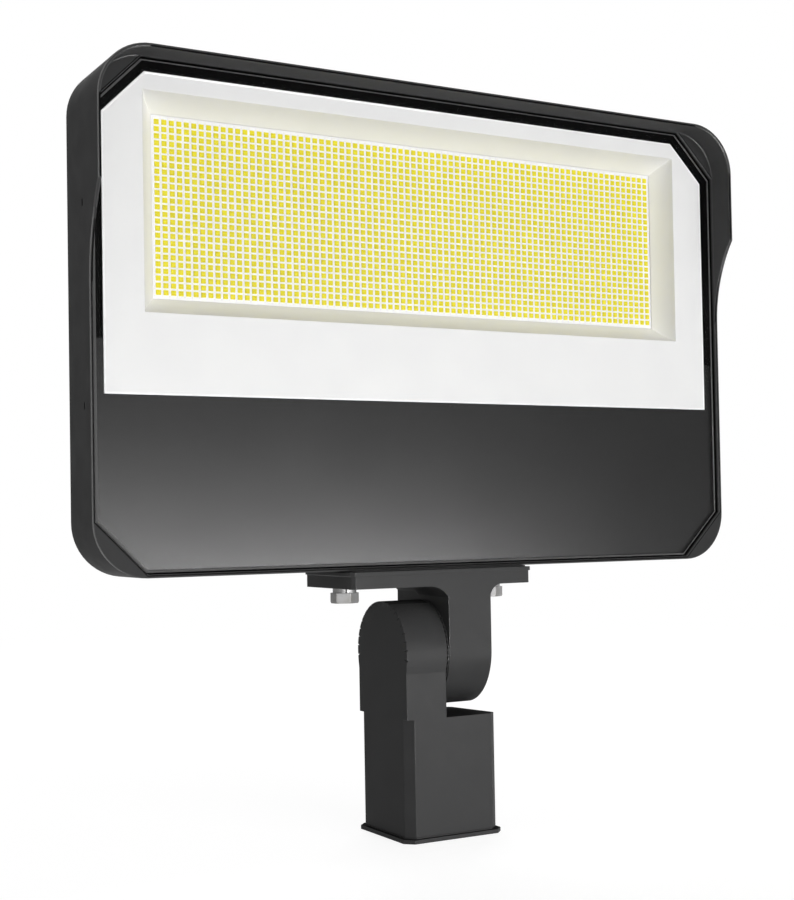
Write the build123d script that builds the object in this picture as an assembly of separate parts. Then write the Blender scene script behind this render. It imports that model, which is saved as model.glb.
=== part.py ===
from build123d import *
import math
import os

# LED floodlight on a pole-top slipfitter.
# Millimetres. The origin is the centre of the tenon socket's mouth, +Z is up,
# and the light shines towards -Y.

# Slipfitter
SOCKET_R = 31.0
SOCKET_DEPTH = 84.0
BODY_WIDTH = 82.0
BODY_DEPTH = 76.0
BODY_TOP_Z = 93.0
BODY_CHAMFER = 6.5
FLANGE_LIP = 2.8
FLANGE_HEIGHT = 3.0
GROOVE_DEPTH = 0.8
GROOVE_HEIGHT = 1.0
DRILL_TIP = 1.0

# Tilt knuckle
PIVOT_Z = 142.5
LUG_THICKNESS = 35.0
LUG_OVERHANG = 1.5
KNUCKLE_GAP = 2.6
LEG_THICKNESS = 38.4
LEG_OVERHANG = 0.5
TEETH = 36
RING_INSET = 3.0
RING_WIDTH = 7.5
RING_BASE = 0.15
RING_CUT_MARGIN = 3.0
TOOTH_CLEARANCE = 0.3
TICKS = 20
TICK_STEP_DEG = 10.0
TICK_LENGTH = 3.4
TICK_WIDTH = 0.9
TICK_DEPTH = 0.9
TICK_OVERRUN = 0.5

# Pivot bolt
PIVOT_BOLT_R = 6.0
PIVOT_RUNNING_CLEARANCE = 0.08
THREAD_CLEARANCE = 0.12
PIVOT_BOLT_IN_LUG = 29.0

# Wireway through the knuckle
WIREWAY_R = 7.0
WIREWAY_X = -17.5
WIREWAY_Y = 16.0
POCKET_INNER_R = 9.0
POCKET_OUTER_R = 25.0
POCKET_DEPTH = 20.0

# Tenon set screws
SET_SCREW_R = 4.8
SET_SCREW_FLATS = 14.3
SET_SCREW_HEAD = 6.2
SET_SCREW_PROUD = 4.0
SET_SCREW_TIP_GAP = 0.4
SET_SCREW_LOW_Z = 26.0
SET_SCREW_HIGH_Z = 64.0

# Hex bolts of the knuckle and bracket
BOLT_FLATS = 19.0
BOLT_HEAD = 8.0
BOLT_CROWN = 0.6
BOLT_TURN_DEG = 27.5
SPRING_WASHER_R = 9.1
SPRING_WASHER_T = 3.8
SPRING_WASHER_CUT = 1.2
SPRING_WASHER_TURN_DEG = -110.0
FLAT_WASHER_R = 12.5
FLAT_WASHER_T = 2.5

# Bracket
PLATE_LEFT_X = -86.4
PLATE_RIGHT_X = 72.8
PLATE_BOTTOM_Z = 193.8
PLATE_THICKNESS = 9.7
PLATE_CHAMFER = 2.5
LIP_THICKNESS = 3.0
LIP_PROUD = 0.9
GASKET_THICKNESS = 1.0
GASKET_INSET = 1.8
GUSSET_REACH = 16.6
GUSSET_DROP = 8.6
GUSSET_BACK_Y = 6.0
GUSSET_CHAMFER = 5.5
RIGHT_FILLET_R = 10.5
BRACKET_BOLT_R = 6.0
BRACKET_BOLT_HALF_SPAN = 66.0
BRACKET_BOLT_DEPTH = 16.0

# Head
HEAD_WIDTH = 564.0
HEAD_HEIGHT = 370.0
HEAD_CORNER_R = 39.5
RIM_Y = -30.5
WALL_BACK_Y = 18.8
RIM_WALL = 2.5
BACK_WALL = 3.5
PAD_CUT = 37.3
VISOR_DEPTH = 21.5
VISOR_SIDE_HEIGHT = 96.5
VISOR_ARC_HEIGHT = 68.0
EDGE_BREAK = 0.5

# Lens, gasket and ledge
LENS_RECESS = 2.6
LENS_THICKNESS = 3.0
LENS_GAP = 1.2
LENS_BEVEL = 1.4
LENS_GASKET_THICKNESS = 1.4
LENS_GASKET_WIDTH = 5.5
LEDGE_INSET = 7.5

# LED bay, board and reflector. The head's size sets how many rows and columns of LEDs it holds.
LED_COLUMN_PITCH = 5.8
LED_ROW_PITCH = 5.16
LED_CHIP = 4.5
LED_THICKNESS = 0.7
LED_SIDE_BORDER = 2.05
LED_END_BORDER = 2.63
BAY_FLOOR_Y = -5.0
BAY_FLOOR_THICKNESS = 4.6
BAY_DIVIDER = 7.0
PAD_THICKNESS = 0.4
PAD_INSET = 9.5
BOARD_THICKNESS = 1.6
BOARD_REACH = 4.0
BOARD_CORNER_R = 4.0
BOARD_SCREW_INSET = 4.6
REFLECTOR_CLEARANCE = 1.6
REFLECTOR_SHEET = 0.8
REFLECTOR_LENS_GAP = 0.3
WELL_SIDE_MARGIN = 30.4
WELL_TOP_MARGIN = 12.7
WELL_BOTTOM_MARGIN = 58.3
WELL_RUN = 12.4
WELL_SAG = 1.4
WELL_SEAT_GAP = 0.3
POST_HALF_WIDTH = 5.0
POST_GAP = 3.4
POST_INSET = 18.0

# Driver bay
DRIVER_BOX_HALF_WIDTH = 225.0
DRIVER_BOX_HEIGHT = 137.5
DRIVER_BOX_BACK_Y = 36.5
DRIVER_BOX_CORNER_R = 14.0
DRIVER_WALL = 5.0
FRONT_FACE_THICKNESS = 4.0
BAFFLE_HEIGHT = 129.0
BAFFLE_EAR_HEIGHT = 38.5
BAFFLE_THICKNESS = 0.6
BAFFLE_GAP = 0.6
COVER_THICKNESS = 3.0
COVER_GASKET_THICKNESS = 1.5
COVER_GASKET_WIDTH = 4.0
COVER_FIELD_HEIGHT = 1.5
COVER_FIELD_INSET = 17.0
COVER_FIELD_CORNER_R = 6.0
COVER_SCREW_INSET = 10.0
COVER_SCREW_R = 2.5
COVER_SCREW_FLATS = 8.0
COVER_SCREW_HEAD = 2.8
COVER_SCREW_DEPTH = 12.0
COVER_BOSS_HALF_WIDTH = 5.5
BRACKET_BOSS_HALF_WIDTH = 11.0
BRACKET_BOSS_ROOF = 5.0
WALL_SLOT_Y = -17.0
WALL_SLOT_DROP = 107.5
WALL_SLOT_RISE = 120.5
WALL_SLOT_WIDTH = 1.8
WALL_SLOT_HEIGHT = 4.5
WALL_SLOT_DEPTH = 1.6
BACK_EDGE_BREAK = 1.0

# What the driver bay holds
DRIVER_LENGTH = 176.0
DRIVER_HEIGHT = 58.0
DRIVER_DEPTH = 34.0
DRIVER_TOP_GAP = 15.0
DRIVER_EDGE = 3.0
DRIVER_FOOT = 11.0
DRIVER_FOOT_THICKNESS = 2.5
SMALL_SCREW_R = 2.0
SMALL_SCREW_FLATS = 7.0
SMALL_SCREW_HEAD = 2.4
SMALL_SCREW_DEPTH = 3.0
SMALL_DRILL_TIP = 0.5
TERMINAL_WIDTH = 72.0
TERMINAL_HEIGHT = 20.0
TERMINAL_DEPTH = 16.0
TERMINAL_RISE = 16.5
TERMINAL_POLES = 6
TERMINAL_ENTRY = 6.0
TERMINAL_ENTRY_DEPTH = 4.0
SURGE_LEFT_X = 104.0
SURGE_WIDTH = 58.0
SURGE_HEIGHT = 32.0
SURGE_DEPTH = 26.0
SURGE_RISE = 12.5
SURGE_EDGE = 2.0
LEAD_Y = -15.0
LEAD_R = 1.6
LEAD_END_GAP = 0.1
DRIVER_FEED_INSET = 6.0
DC_LEAD_R = 2.6
DC_LEAD_X = 100.0
DC_LEAD_Y = -11.5
GROMMET_R = 5.0
GROMMET_CLEARANCE = 0.1
CONNECTOR_WIDTH = 14.0
CONNECTOR_HEIGHT = 6.5
CONNECTOR_DEPTH = 6.5
CONNECTOR_MARGIN = 1.0
VENT_INSET = 75.0
VENT_THREAD_R = 5.8
VENT_FLATS = 17.0
VENT_BASE = 3.0
VENT_CAP_R = 7.6
VENT_CAP = 5.0
VENT_CAP_SIDES = 12
VENT_DEPTH = 6.0

# Cooling fins
FIN_PITCH = 15.0
FIN_SIDE_MARGIN = 24.0
FIN_ROOT = 3.2
FIN_TIP = 1.9
FIN_TIP_Y = 34.0
FIN_TOP_MARGIN = 8.0
FIN_BEVEL = 14.0


# Derived places
LUG_ROUND_R = BODY_DEPTH / 2 + LUG_OVERHANG
LEG_ROUND_R = LUG_ROUND_R + LEG_OVERHANG
RING_OUTER_R = LUG_ROUND_R - RING_INSET
RING_INNER_R = RING_OUTER_R - RING_WIDTH
LUG_LEFT_X = -BODY_WIDTH / 2
LUG_RIGHT_X = LUG_LEFT_X + LUG_THICKNESS
LEG_LEFT_X = LUG_RIGHT_X + KNUCKLE_GAP
LEG_RIGHT_X = LEG_LEFT_X + LEG_THICKNESS
PLATE_DEPTH = 2 * LEG_ROUND_R
PLATE_CENTRE_X = (PLATE_LEFT_X + PLATE_RIGHT_X) / 2
PLATE_TOP_Z = PLATE_BOTTOM_Z + PLATE_THICKNESS + LIP_THICKNESS
HEAD_BOTTOM_Z = PLATE_TOP_Z + GASKET_THICKNESS
HEAD_CENTRE_Z = HEAD_BOTTOM_Z + HEAD_HEIGHT / 2
HEAD_TOP_Z = HEAD_BOTTOM_Z + HEAD_HEIGHT
VISOR_Y = RIM_Y - VISOR_DEPTH
VISOR_KINK_Z = HEAD_TOP_Z - VISOR_SIDE_HEIGHT
VISOR_TANGENT_Z = VISOR_KINK_Z - VISOR_ARC_HEIGHT
WALL_SLOT_ZS = (HEAD_TOP_Z - WALL_SLOT_DROP, HEAD_BOTTOM_Z + WALL_SLOT_RISE)
DRIVER_BOX_TOP_Z = HEAD_BOTTOM_Z + DRIVER_BOX_HEIGHT
BAY_BOTTOM_Z = DRIVER_BOX_TOP_Z + BAY_DIVIDER
FIN_COUNT = 2 * int((HEAD_WIDTH / 2 - BACK_WALL - FIN_SIDE_MARGIN) / FIN_PITCH) + 1
LENS_FRONT_Y = RIM_Y + LENS_RECESS
LENS_BACK_Y = LENS_FRONT_Y + LENS_THICKNESS
LEDGE_Y = LENS_BACK_Y + LENS_GASKET_THICKNESS
REFLECTOR_INSET = LEDGE_INSET + REFLECTOR_CLEARANCE
REFLECTOR_HALF_WIDTH = HEAD_WIDTH / 2 - RIM_WALL - REFLECTOR_INSET
REFLECTOR_TOP_Z = HEAD_TOP_Z - RIM_WALL - REFLECTOR_INSET
REFLECTOR_BOTTOM_Z = HEAD_BOTTOM_Z + BAFFLE_HEIGHT
LED_ROOM_WIDTH = 2 * (REFLECTOR_HALF_WIDTH - WELL_SIDE_MARGIN - WELL_RUN - LED_SIDE_BORDER)
LED_ROOM_HEIGHT = REFLECTOR_TOP_Z - REFLECTOR_BOTTOM_Z - WELL_TOP_MARGIN - WELL_BOTTOM_MARGIN
LED_ROOM_HEIGHT -= 2 * (WELL_RUN + LED_END_BORDER)
LED_COLUMNS = 1 + round((LED_ROOM_WIDTH - LED_CHIP) / LED_COLUMN_PITCH)
LED_ROWS = 1 + round((LED_ROOM_HEIGHT - LED_CHIP) / LED_ROW_PITCH)
LED_HALF_WIDTH = ((LED_COLUMNS - 1) * LED_COLUMN_PITCH + LED_CHIP) / 2
LED_HALF_HEIGHT = ((LED_ROWS - 1) * LED_ROW_PITCH + LED_CHIP) / 2
WELL_HALF_WIDTH = LED_HALF_WIDTH + LED_SIDE_BORDER + WELL_RUN
WELL_HALF_HEIGHT = LED_HALF_HEIGHT + LED_END_BORDER + WELL_RUN
LED_CENTRE_Z = REFLECTOR_TOP_Z - WELL_TOP_MARGIN - WELL_HALF_HEIGHT
BOARD_HALF_WIDTH = WELL_HALF_WIDTH + BOARD_REACH
BOARD_HALF_HEIGHT = WELL_HALF_HEIGHT + BOARD_REACH
BOARD_BACK_Y = BAY_FLOOR_Y - PAD_THICKNESS
BOARD_FRONT_Y = BOARD_BACK_Y - BOARD_THICKNESS
REFLECTOR_FRONT_Y = LENS_BACK_Y + REFLECTOR_LENS_GAP
REFLECTOR_BACK_Y = REFLECTOR_FRONT_Y + REFLECTOR_SHEET
WELL_END_Y = BOARD_FRONT_Y - WELL_SEAT_GAP
DRIVER_FLOOR_Y = LEDGE_Y + FRONT_FACE_THICKNESS
COVER_FRONT_Y = DRIVER_BOX_BACK_Y + COVER_GASKET_THICKNESS
COVER_BACK_Y = COVER_FRONT_Y + COVER_THICKNESS
DRIVER_CENTRE_X = (DRIVER_BOX_HALF_WIDTH - DRIVER_WALL) / 2
DRIVER_CENTRE_Z = DRIVER_BOX_TOP_Z - DRIVER_WALL - DRIVER_TOP_GAP - DRIVER_HEIGHT / 2
TERMINAL_LEFT_X = -TERMINAL_WIDTH / 2
TERMINAL_LOW_Z = HEAD_BOTTOM_Z + TERMINAL_RISE
SURGE_LOW_Z = HEAD_BOTTOM_Z + SURGE_RISE
VENT_X = DRIVER_BOX_HALF_WIDTH - VENT_INSET
VENT_Z = HEAD_BOTTOM_Z + DRIVER_BOX_HEIGHT / 2
LEAD_HOLE_X = LEG_LEFT_X + POCKET_DEPTH / 2
BRACKET_BOLT_XS = [PLATE_CENTRE_X - BRACKET_BOLT_HALF_SPAN, PLATE_CENTRE_X + BRACKET_BOLT_HALF_SPAN]


# Drawing helpers
def slab(sketch, front_y, back_y):
    """Stretch an outline drawn in X and Z from front_y to back_y."""
    plane = Plane(origin=(0, back_y, 0), x_dir=(1, 0, 0), z_dir=(0, -1, 0))
    return extrude(plane * sketch, amount=back_y - front_y)


def bar(sketch, left_x, right_x):
    """Stretch an outline drawn in Y and Z from left_x to right_x."""
    plane = Plane(origin=(left_x, 0, 0), x_dir=(0, 1, 0), z_dir=(1, 0, 0))
    return extrude(plane * sketch, amount=right_x - left_x)


def rise(sketch, low_z, high_z):
    """Stretch an outline drawn in X and Y from low_z to high_z."""
    return extrude(Plane.XY.offset(low_z) * sketch, amount=high_z - low_z)


def rect(low_u, high_u, low_v, high_v):
    """A rectangle between two corners."""
    return Pos((low_u + high_u) / 2, (low_v + high_v) / 2) * Rectangle(high_u - low_u, high_v - low_v)


def square_at(u, v, half_width):
    """A square round a point."""
    return rect(u - half_width, u + half_width, v - half_width, v + half_width)


def chamfered_rect(width, height, cut):
    """A centred rectangle with its four corners cut at 45 degrees."""
    return chamfer(Rectangle(width, height).vertices(), cut)


def x_rod(radius, left_x, right_x, y, z):
    """A cylinder along X."""
    return bar(Pos(y, z) * Circle(radius), left_x, right_x)


def y_rod(radius, front_y, back_y, x, z):
    """A cylinder along Y."""
    return slab(Pos(x, z) * Circle(radius), front_y, back_y)


def z_rod(radius, low_z, high_z, x, y):
    """A cylinder along Z."""
    return rise(Pos(x, y) * Circle(radius), low_z, high_z)


def hexagon(flats):
    """A regular hexagon by its width across flats."""
    return RegularPolygon(flats / 2, 6, major_radius=False)


def hex_bolt(flats, head, radius, length):
    """A plain hex bolt with its seat at the origin and its shank along +Z."""
    return extrude(hexagon(flats), amount=-head) + Pos(0, 0, length / 2) * Cylinder(radius, length)


def crowned_bolt(flats, head, radius, length):
    """A hex bolt whose head has its outer corners turned off."""
    trim = Pos(0, 0, (length - head) / 2) * Cylinder(flats / math.sqrt(3), head + length)
    trim = chamfer(trim.edges().group_by(Axis.Z)[0], 2 * BOLT_CROWN, BOLT_CROWN)
    return hex_bolt(flats, head, radius, length) & trim


def spring_washer(outer_r, bore_r, thickness):
    """A split lock washer standing on the origin."""
    ring = Cylinder(outer_r, thickness) - Cylinder(bore_r, thickness)
    cut = Pos(outer_r, 0, 0) * Box(outer_r * 2, SPRING_WASHER_CUT, thickness)
    return Pos(0, 0, thickness / 2) * (ring - cut)


def group(solids):
    """Separate solids that share one node."""
    return Compound([solid for item in solids for solid in item.solids()])


# Slipfitter
def body_outline(grow=0.0):
    """The square tube's outline, its corners cut."""
    return chamfered_rect(BODY_WIDTH + 2 * grow, BODY_DEPTH + 2 * grow, BODY_CHAMFER)


def hirth_ring(base_x, direction, half_pitch):
    """A ring of radial face teeth that stands on a knuckle face."""
    height = (KNUCKLE_GAP - TOOTH_CLEARANCE) / 2
    ring = Cylinder(RING_OUTER_R, height) - Cylinder(RING_INNER_R, height)
    ring = Pos(0, 0, height / 2) * ring
    pitch = 360.0 / TEETH
    cutters = []
    for number in range(TEETH):
        sections = []
        for radius in (RING_INNER_R - RING_CUT_MARGIN, RING_OUTER_R + RING_CUT_MARGIN):
            half = radius * math.tan(math.radians(pitch / 2))
            valley = Polyline((-half, height), (half, height), (0, RING_BASE), close=True)
            plane = Plane(origin=(radius, 0, 0), x_dir=(0, 1, 0), z_dir=(1, 0, 0))
            sections.append(plane * make_face(valley))
        angle = pitch * (number + half_pitch)
        cutters.append(Rot(0, 0, angle) * loft(sections, ruled=True))
    ring = ring - cutters
    return Pos(base_x, 0, PIVOT_Z) * Rot(0, 90 * direction, 0) * ring


def tick_cuts():
    """Short tilt marks round the edge of the lug's left face."""
    first = 90 - TICK_STEP_DEG * (TICKS - 1) / 2
    marks = []
    for number in range(TICKS):
        angle = first + number * TICK_STEP_DEG
        mark = Box(TICK_LENGTH + TICK_OVERRUN, TICK_WIDTH, TICK_DEPTH * 2)
        mark = Pos(LUG_ROUND_R - (TICK_LENGTH - TICK_OVERRUN) / 2, 0, 0) * mark
        plane = Plane(origin=(LUG_LEFT_X, 0, PIVOT_Z), x_dir=(0, 1, 0), z_dir=(1, 0, 0))
        marks.append(plane * Rot(0, 0, angle) * mark)
    return marks


def set_screw_spots():
    """Seats of the tenon set screws, facing inwards, each with the wall that it passes through."""
    spots = []
    for z in (SET_SCREW_LOW_Z, SET_SCREW_HIGH_Z):
        right = Plane(origin=(BODY_WIDTH / 2, 0, z), x_dir=(0, 1, 0), z_dir=(-1, 0, 0))
        spots.append((right, BODY_WIDTH / 2 - SOCKET_R))
        back = Plane(origin=(0, BODY_DEPTH / 2, z), x_dir=(1, 0, 0), z_dir=(0, -1, 0))
        spots.append((back, BODY_DEPTH / 2 - SOCKET_R))
    return spots


def make_slipfitter_body():
    body = rise(body_outline(), 0, BODY_TOP_Z)
    body += rise(body_outline(FLANGE_LIP), 0, FLANGE_HEIGHT)
    groove = body_outline() - body_outline(-GROOVE_DEPTH)
    body -= rise(groove, FLANGE_HEIGHT, FLANGE_HEIGHT + GROOVE_HEIGHT)
    neck = rect(-BODY_DEPTH / 2, BODY_DEPTH / 2, BODY_TOP_Z, PIVOT_Z)
    round_top = Pos(0, PIVOT_Z) * Circle(LUG_ROUND_R)
    body += bar(neck + round_top, LUG_LEFT_X, LUG_RIGHT_X)
    body += hirth_ring(LUG_RIGHT_X, 1, 0.0)
    body -= tick_cuts()
    body -= z_rod(SOCKET_R, 0, SOCKET_DEPTH, 0, 0)
    thread_end_x = LUG_RIGHT_X - PIVOT_BOLT_IN_LUG - DRILL_TIP
    body -= x_rod(PIVOT_BOLT_R + THREAD_CLEARANCE, thread_end_x, LUG_RIGHT_X, 0, PIVOT_Z)
    body -= z_rod(WIREWAY_R, SOCKET_DEPTH, PIVOT_Z + WIREWAY_R, WIREWAY_X, WIREWAY_Y)
    body -= x_rod(WIREWAY_R, WIREWAY_X, LUG_RIGHT_X, WIREWAY_Y, PIVOT_Z)
    for plane, wall in set_screw_spots():
        hole = Cylinder(SET_SCREW_R + THREAD_CLEARANCE, wall + DRILL_TIP)
        body -= plane * Pos(0, 0, (wall + DRILL_TIP) / 2) * hole
    return body


def make_tenon_set_screws():
    screws = []
    for plane, wall in set_screw_spots():
        length = wall + SET_SCREW_PROUD - SET_SCREW_TIP_GAP
        screw = hex_bolt(SET_SCREW_FLATS, SET_SCREW_HEAD, SET_SCREW_R, length)
        screws.append(plane * Pos(0, 0, -SET_SCREW_PROUD) * screw)
    return group(screws)


def make_pivot_bolt():
    seat_x = LEG_RIGHT_X + FLAT_WASHER_T + SPRING_WASHER_T + PIVOT_RUNNING_CLEARANCE
    length = seat_x - LUG_RIGHT_X + PIVOT_BOLT_IN_LUG
    bolt = crowned_bolt(BOLT_FLATS, BOLT_HEAD, PIVOT_BOLT_R, length)
    return Pos(seat_x, 0, PIVOT_Z) * Rot(0, -90, 0) * bolt


def make_pivot_flat_washer():
    left_x = LEG_RIGHT_X + PIVOT_RUNNING_CLEARANCE
    bore = PIVOT_BOLT_R + THREAD_CLEARANCE
    return x_rod(FLAT_WASHER_R, left_x, left_x + FLAT_WASHER_T, 0, PIVOT_Z) - x_rod(
        bore, left_x, left_x + FLAT_WASHER_T, 0, PIVOT_Z)


def make_pivot_spring_washer():
    left_x = LEG_RIGHT_X + PIVOT_RUNNING_CLEARANCE + FLAT_WASHER_T
    washer = spring_washer(SPRING_WASHER_R, PIVOT_BOLT_R + THREAD_CLEARANCE, SPRING_WASHER_T)
    return Pos(left_x, 0, PIVOT_Z) * Rot(0, 90, 0) * washer


# Bracket
def plate_outline(grow=0.0, cut=PLATE_CHAMFER):
    width = PLATE_RIGHT_X - PLATE_LEFT_X + 2 * grow
    return Pos(PLATE_CENTRE_X, 0) * chamfered_rect(width, PLATE_DEPTH + 2 * grow, cut)


def gusset():
    """The concave web between the plate and the leg's left face."""
    turn = 2 * math.atan(GUSSET_DROP / GUSSET_REACH)
    radius = GUSSET_REACH / math.sin(turn)
    left_x = LEG_LEFT_X - GUSSET_REACH
    middle = (left_x + radius * math.sin(turn / 2), PLATE_BOTTOM_Z - radius * (1 - math.cos(turn / 2)))
    end = (LEG_LEFT_X, PLATE_BOTTOM_Z - GUSSET_DROP)
    edges = ThreePointArc((left_x, PLATE_BOTTOM_Z), middle, end)
    edges += Polyline(end, (LEG_LEFT_X, PLATE_BOTTOM_Z), (left_x, PLATE_BOTTOM_Z))
    return slab(make_face(edges), -PLATE_DEPTH / 2, GUSSET_BACK_Y)


def make_bracket():
    bracket = rise(plate_outline(), PLATE_BOTTOM_Z, PLATE_TOP_Z)
    bracket += rise(plate_outline(LIP_PROUD), PLATE_TOP_Z - LIP_THICKNESS, PLATE_TOP_Z)
    leg = rect(-LEG_ROUND_R, LEG_ROUND_R, PIVOT_Z, PLATE_BOTTOM_Z + PLATE_THICKNESS / 2)
    leg += Pos(0, PIVOT_Z) * Circle(LEG_ROUND_R)
    bracket += bar(leg, LEG_LEFT_X, LEG_RIGHT_X)
    bracket += gusset()
    cut = Polyline((LEG_LEFT_X, PLATE_BOTTOM_Z), (LEG_LEFT_X - GUSSET_CHAMFER, PLATE_BOTTOM_Z),
                   (LEG_LEFT_X, PLATE_BOTTOM_Z - GUSSET_CHAMFER), close=True)
    bracket += slab(make_face(cut), GUSSET_BACK_Y, PLATE_DEPTH / 2)
    corner = rect(LEG_RIGHT_X, LEG_RIGHT_X + RIGHT_FILLET_R, PLATE_BOTTOM_Z - RIGHT_FILLET_R, PLATE_BOTTOM_Z)
    corner -= Pos(LEG_RIGHT_X + RIGHT_FILLET_R, PLATE_BOTTOM_Z - RIGHT_FILLET_R) * Circle(RIGHT_FILLET_R)
    bracket += slab(corner, -PLATE_DEPTH / 2, PLATE_DEPTH / 2)
    bracket += hirth_ring(LEG_LEFT_X, -1, 0.5)
    bracket -= x_rod(PIVOT_BOLT_R + PIVOT_RUNNING_CLEARANCE, LEG_LEFT_X, LEG_RIGHT_X, 0, PIVOT_Z)
    pocket = x_rod(POCKET_OUTER_R, LEG_LEFT_X, LEG_LEFT_X + POCKET_DEPTH, 0, PIVOT_Z)
    pocket -= x_rod(POCKET_INNER_R, LEG_LEFT_X, LEG_LEFT_X + POCKET_DEPTH, 0, PIVOT_Z)
    bracket -= pocket
    bracket -= z_rod(WIREWAY_R, PIVOT_Z + POCKET_INNER_R + WIREWAY_R, PLATE_TOP_Z, LEAD_HOLE_X, 0)
    for x in BRACKET_BOLT_XS:
        bracket -= z_rod(BRACKET_BOLT_R + THREAD_CLEARANCE, PLATE_BOTTOM_Z, PLATE_TOP_Z, x, 0)
    return bracket


def make_bracket_gasket():
    gasket = rise(plate_outline(-GASKET_INSET), PLATE_TOP_Z, HEAD_BOTTOM_Z)
    gasket -= z_rod(WIREWAY_R, PLATE_TOP_Z, HEAD_BOTTOM_Z, LEAD_HOLE_X, 0)
    for x in BRACKET_BOLT_XS:
        gasket -= z_rod(BRACKET_BOLT_R + THREAD_CLEARANCE, PLATE_TOP_Z, HEAD_BOTTOM_Z, x, 0)
    return gasket


def make_bracket_bolts():
    seat_z = PLATE_BOTTOM_Z - SPRING_WASHER_T
    length = HEAD_BOTTOM_Z + BRACKET_BOLT_DEPTH - seat_z
    bolt = crowned_bolt(BOLT_FLATS, BOLT_HEAD, BRACKET_BOLT_R, length)
    return group([Pos(x, 0, seat_z) * Rot(0, 0, BOLT_TURN_DEG) * bolt for x in BRACKET_BOLT_XS])


def make_bracket_spring_washers():
    washer = spring_washer(SPRING_WASHER_R, BRACKET_BOLT_R + THREAD_CLEARANCE, SPRING_WASHER_T)
    seat_z = PLATE_BOTTOM_Z - SPRING_WASHER_T
    washer = Rot(0, 0, SPRING_WASHER_TURN_DEG) * washer
    return group([Pos(x, 0, seat_z) * washer for x in BRACKET_BOLT_XS])


# Head
def head_outline(inset=0.0):
    """The head's rounded outline, moved inwards by inset."""
    outline = RectangleRounded(HEAD_WIDTH - 2 * inset, HEAD_HEIGHT - 2 * inset, HEAD_CORNER_R - inset)
    return Pos(0, HEAD_CENTRE_Z) * outline


def lens_outline(inset=0.0):
    """The eight-sided lens recess inside the rim wall, moved inwards by inset."""
    margin = RIM_WALL + inset
    cut = PAD_CUT - inset * (2 - math.sqrt(2))
    return Pos(0, HEAD_CENTRE_Z) * chamfered_rect(HEAD_WIDTH - 2 * margin, HEAD_HEIGHT - 2 * margin, cut)


def above(z):
    return rect(-HEAD_WIDTH, HEAD_WIDTH, z, HEAD_TOP_Z + HEAD_HEIGHT)


def below(z):
    return rect(-HEAD_WIDTH, HEAD_WIDTH, HEAD_BOTTOM_Z - HEAD_HEIGHT, z)


def driver_box_rect(inset, corner_r):
    width = 2 * (DRIVER_BOX_HALF_WIDTH - inset)
    height = DRIVER_BOX_TOP_Z - HEAD_BOTTOM_Z - 2 * inset
    middle = (DRIVER_BOX_TOP_Z + HEAD_BOTTOM_Z) / 2
    return Pos(0, middle) * RectangleRounded(width, height, corner_r)


def driver_box_outline(inset=0.0):
    return driver_box_rect(inset, DRIVER_BOX_CORNER_R - inset)


def make_visor():
    """The hood round the top of the rim, its sides swept back to the rim in an arc."""
    band = slab(head_outline() - head_outline(RIM_WALL), VISOR_Y, RIM_Y)
    rise_z = VISOR_KINK_Z - VISOR_TANGENT_Z
    radius = (VISOR_DEPTH ** 2 + rise_z ** 2) / (2 * VISOR_DEPTH)
    half_turn = math.asin(rise_z / radius) / 2
    middle = (RIM_Y - radius * (1 - math.cos(half_turn)), VISOR_TANGENT_Z + radius * math.sin(half_turn))
    edges = ThreePointArc((RIM_Y, VISOR_TANGENT_Z), middle, (VISOR_Y, VISOR_KINK_Z))
    over_z = HEAD_TOP_Z + VISOR_DEPTH
    edges += Polyline((VISOR_Y, VISOR_KINK_Z), (VISOR_Y, over_z), (RIM_Y, over_z), (RIM_Y, VISOR_TANGENT_Z))
    return band & bar(make_face(edges), -HEAD_WIDTH, HEAD_WIDTH)


def make_fins():
    """Upright cooling fins with draft, their top and bottom corners cut off."""
    low_z = DRIVER_BOX_TOP_Z
    high_z = HEAD_TOP_Z - BACK_WALL - FIN_TOP_MARGIN
    root_y = BAY_FLOOR_Y + BAY_FLOOR_THICKNESS
    section = Polyline((-FIN_ROOT / 2, root_y), (FIN_ROOT / 2, root_y), (FIN_TIP / 2, FIN_TIP_Y),
                       (-FIN_TIP / 2, FIN_TIP_Y), close=True)
    fin = rise(make_face(section), low_z, high_z)
    side = Polyline((root_y, low_z), (FIN_TIP_Y, low_z), (FIN_TIP_Y, high_z - FIN_BEVEL),
                    (FIN_TIP_Y - FIN_BEVEL, high_z), (root_y, high_z), close=True)
    fin &= bar(make_face(side), -FIN_ROOT, FIN_ROOT)
    start = -(FIN_COUNT - 1) * FIN_PITCH / 2
    return [Pos(start + number * FIN_PITCH, 0, 0) * fin for number in range(FIN_COUNT)]


def post_spots():
    """Posts of the bay floor that carry the reflector, up both sides of the board."""
    x = BOARD_HALF_WIDTH + POST_GAP + POST_HALF_WIDTH
    low_z = BAY_BOTTOM_Z + POST_INSET
    high_z = LED_CENTRE_Z + BOARD_HALF_HEIGHT - POST_INSET
    return [(side * x, z) for side in (-1, 1) for z in (low_z, LED_CENTRE_Z, high_z)]


def cover_screw_spots():
    half = DRIVER_BOX_HALF_WIDTH - COVER_SCREW_INSET
    low = HEAD_BOTTOM_Z + COVER_SCREW_INSET
    high = DRIVER_BOX_TOP_Z - COVER_SCREW_INSET
    return [(x, z) for x in (-half, -half / 3, half / 3, half) for z in (low, high)]


def board_screw_spots():
    half_x = BOARD_HALF_WIDTH - BOARD_SCREW_INSET
    half_z = BOARD_HALF_HEIGHT - BOARD_SCREW_INSET
    return [(x, LED_CENTRE_Z + z) for x in (-half_x, half_x) for z in (-half_z, half_z)]


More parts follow.
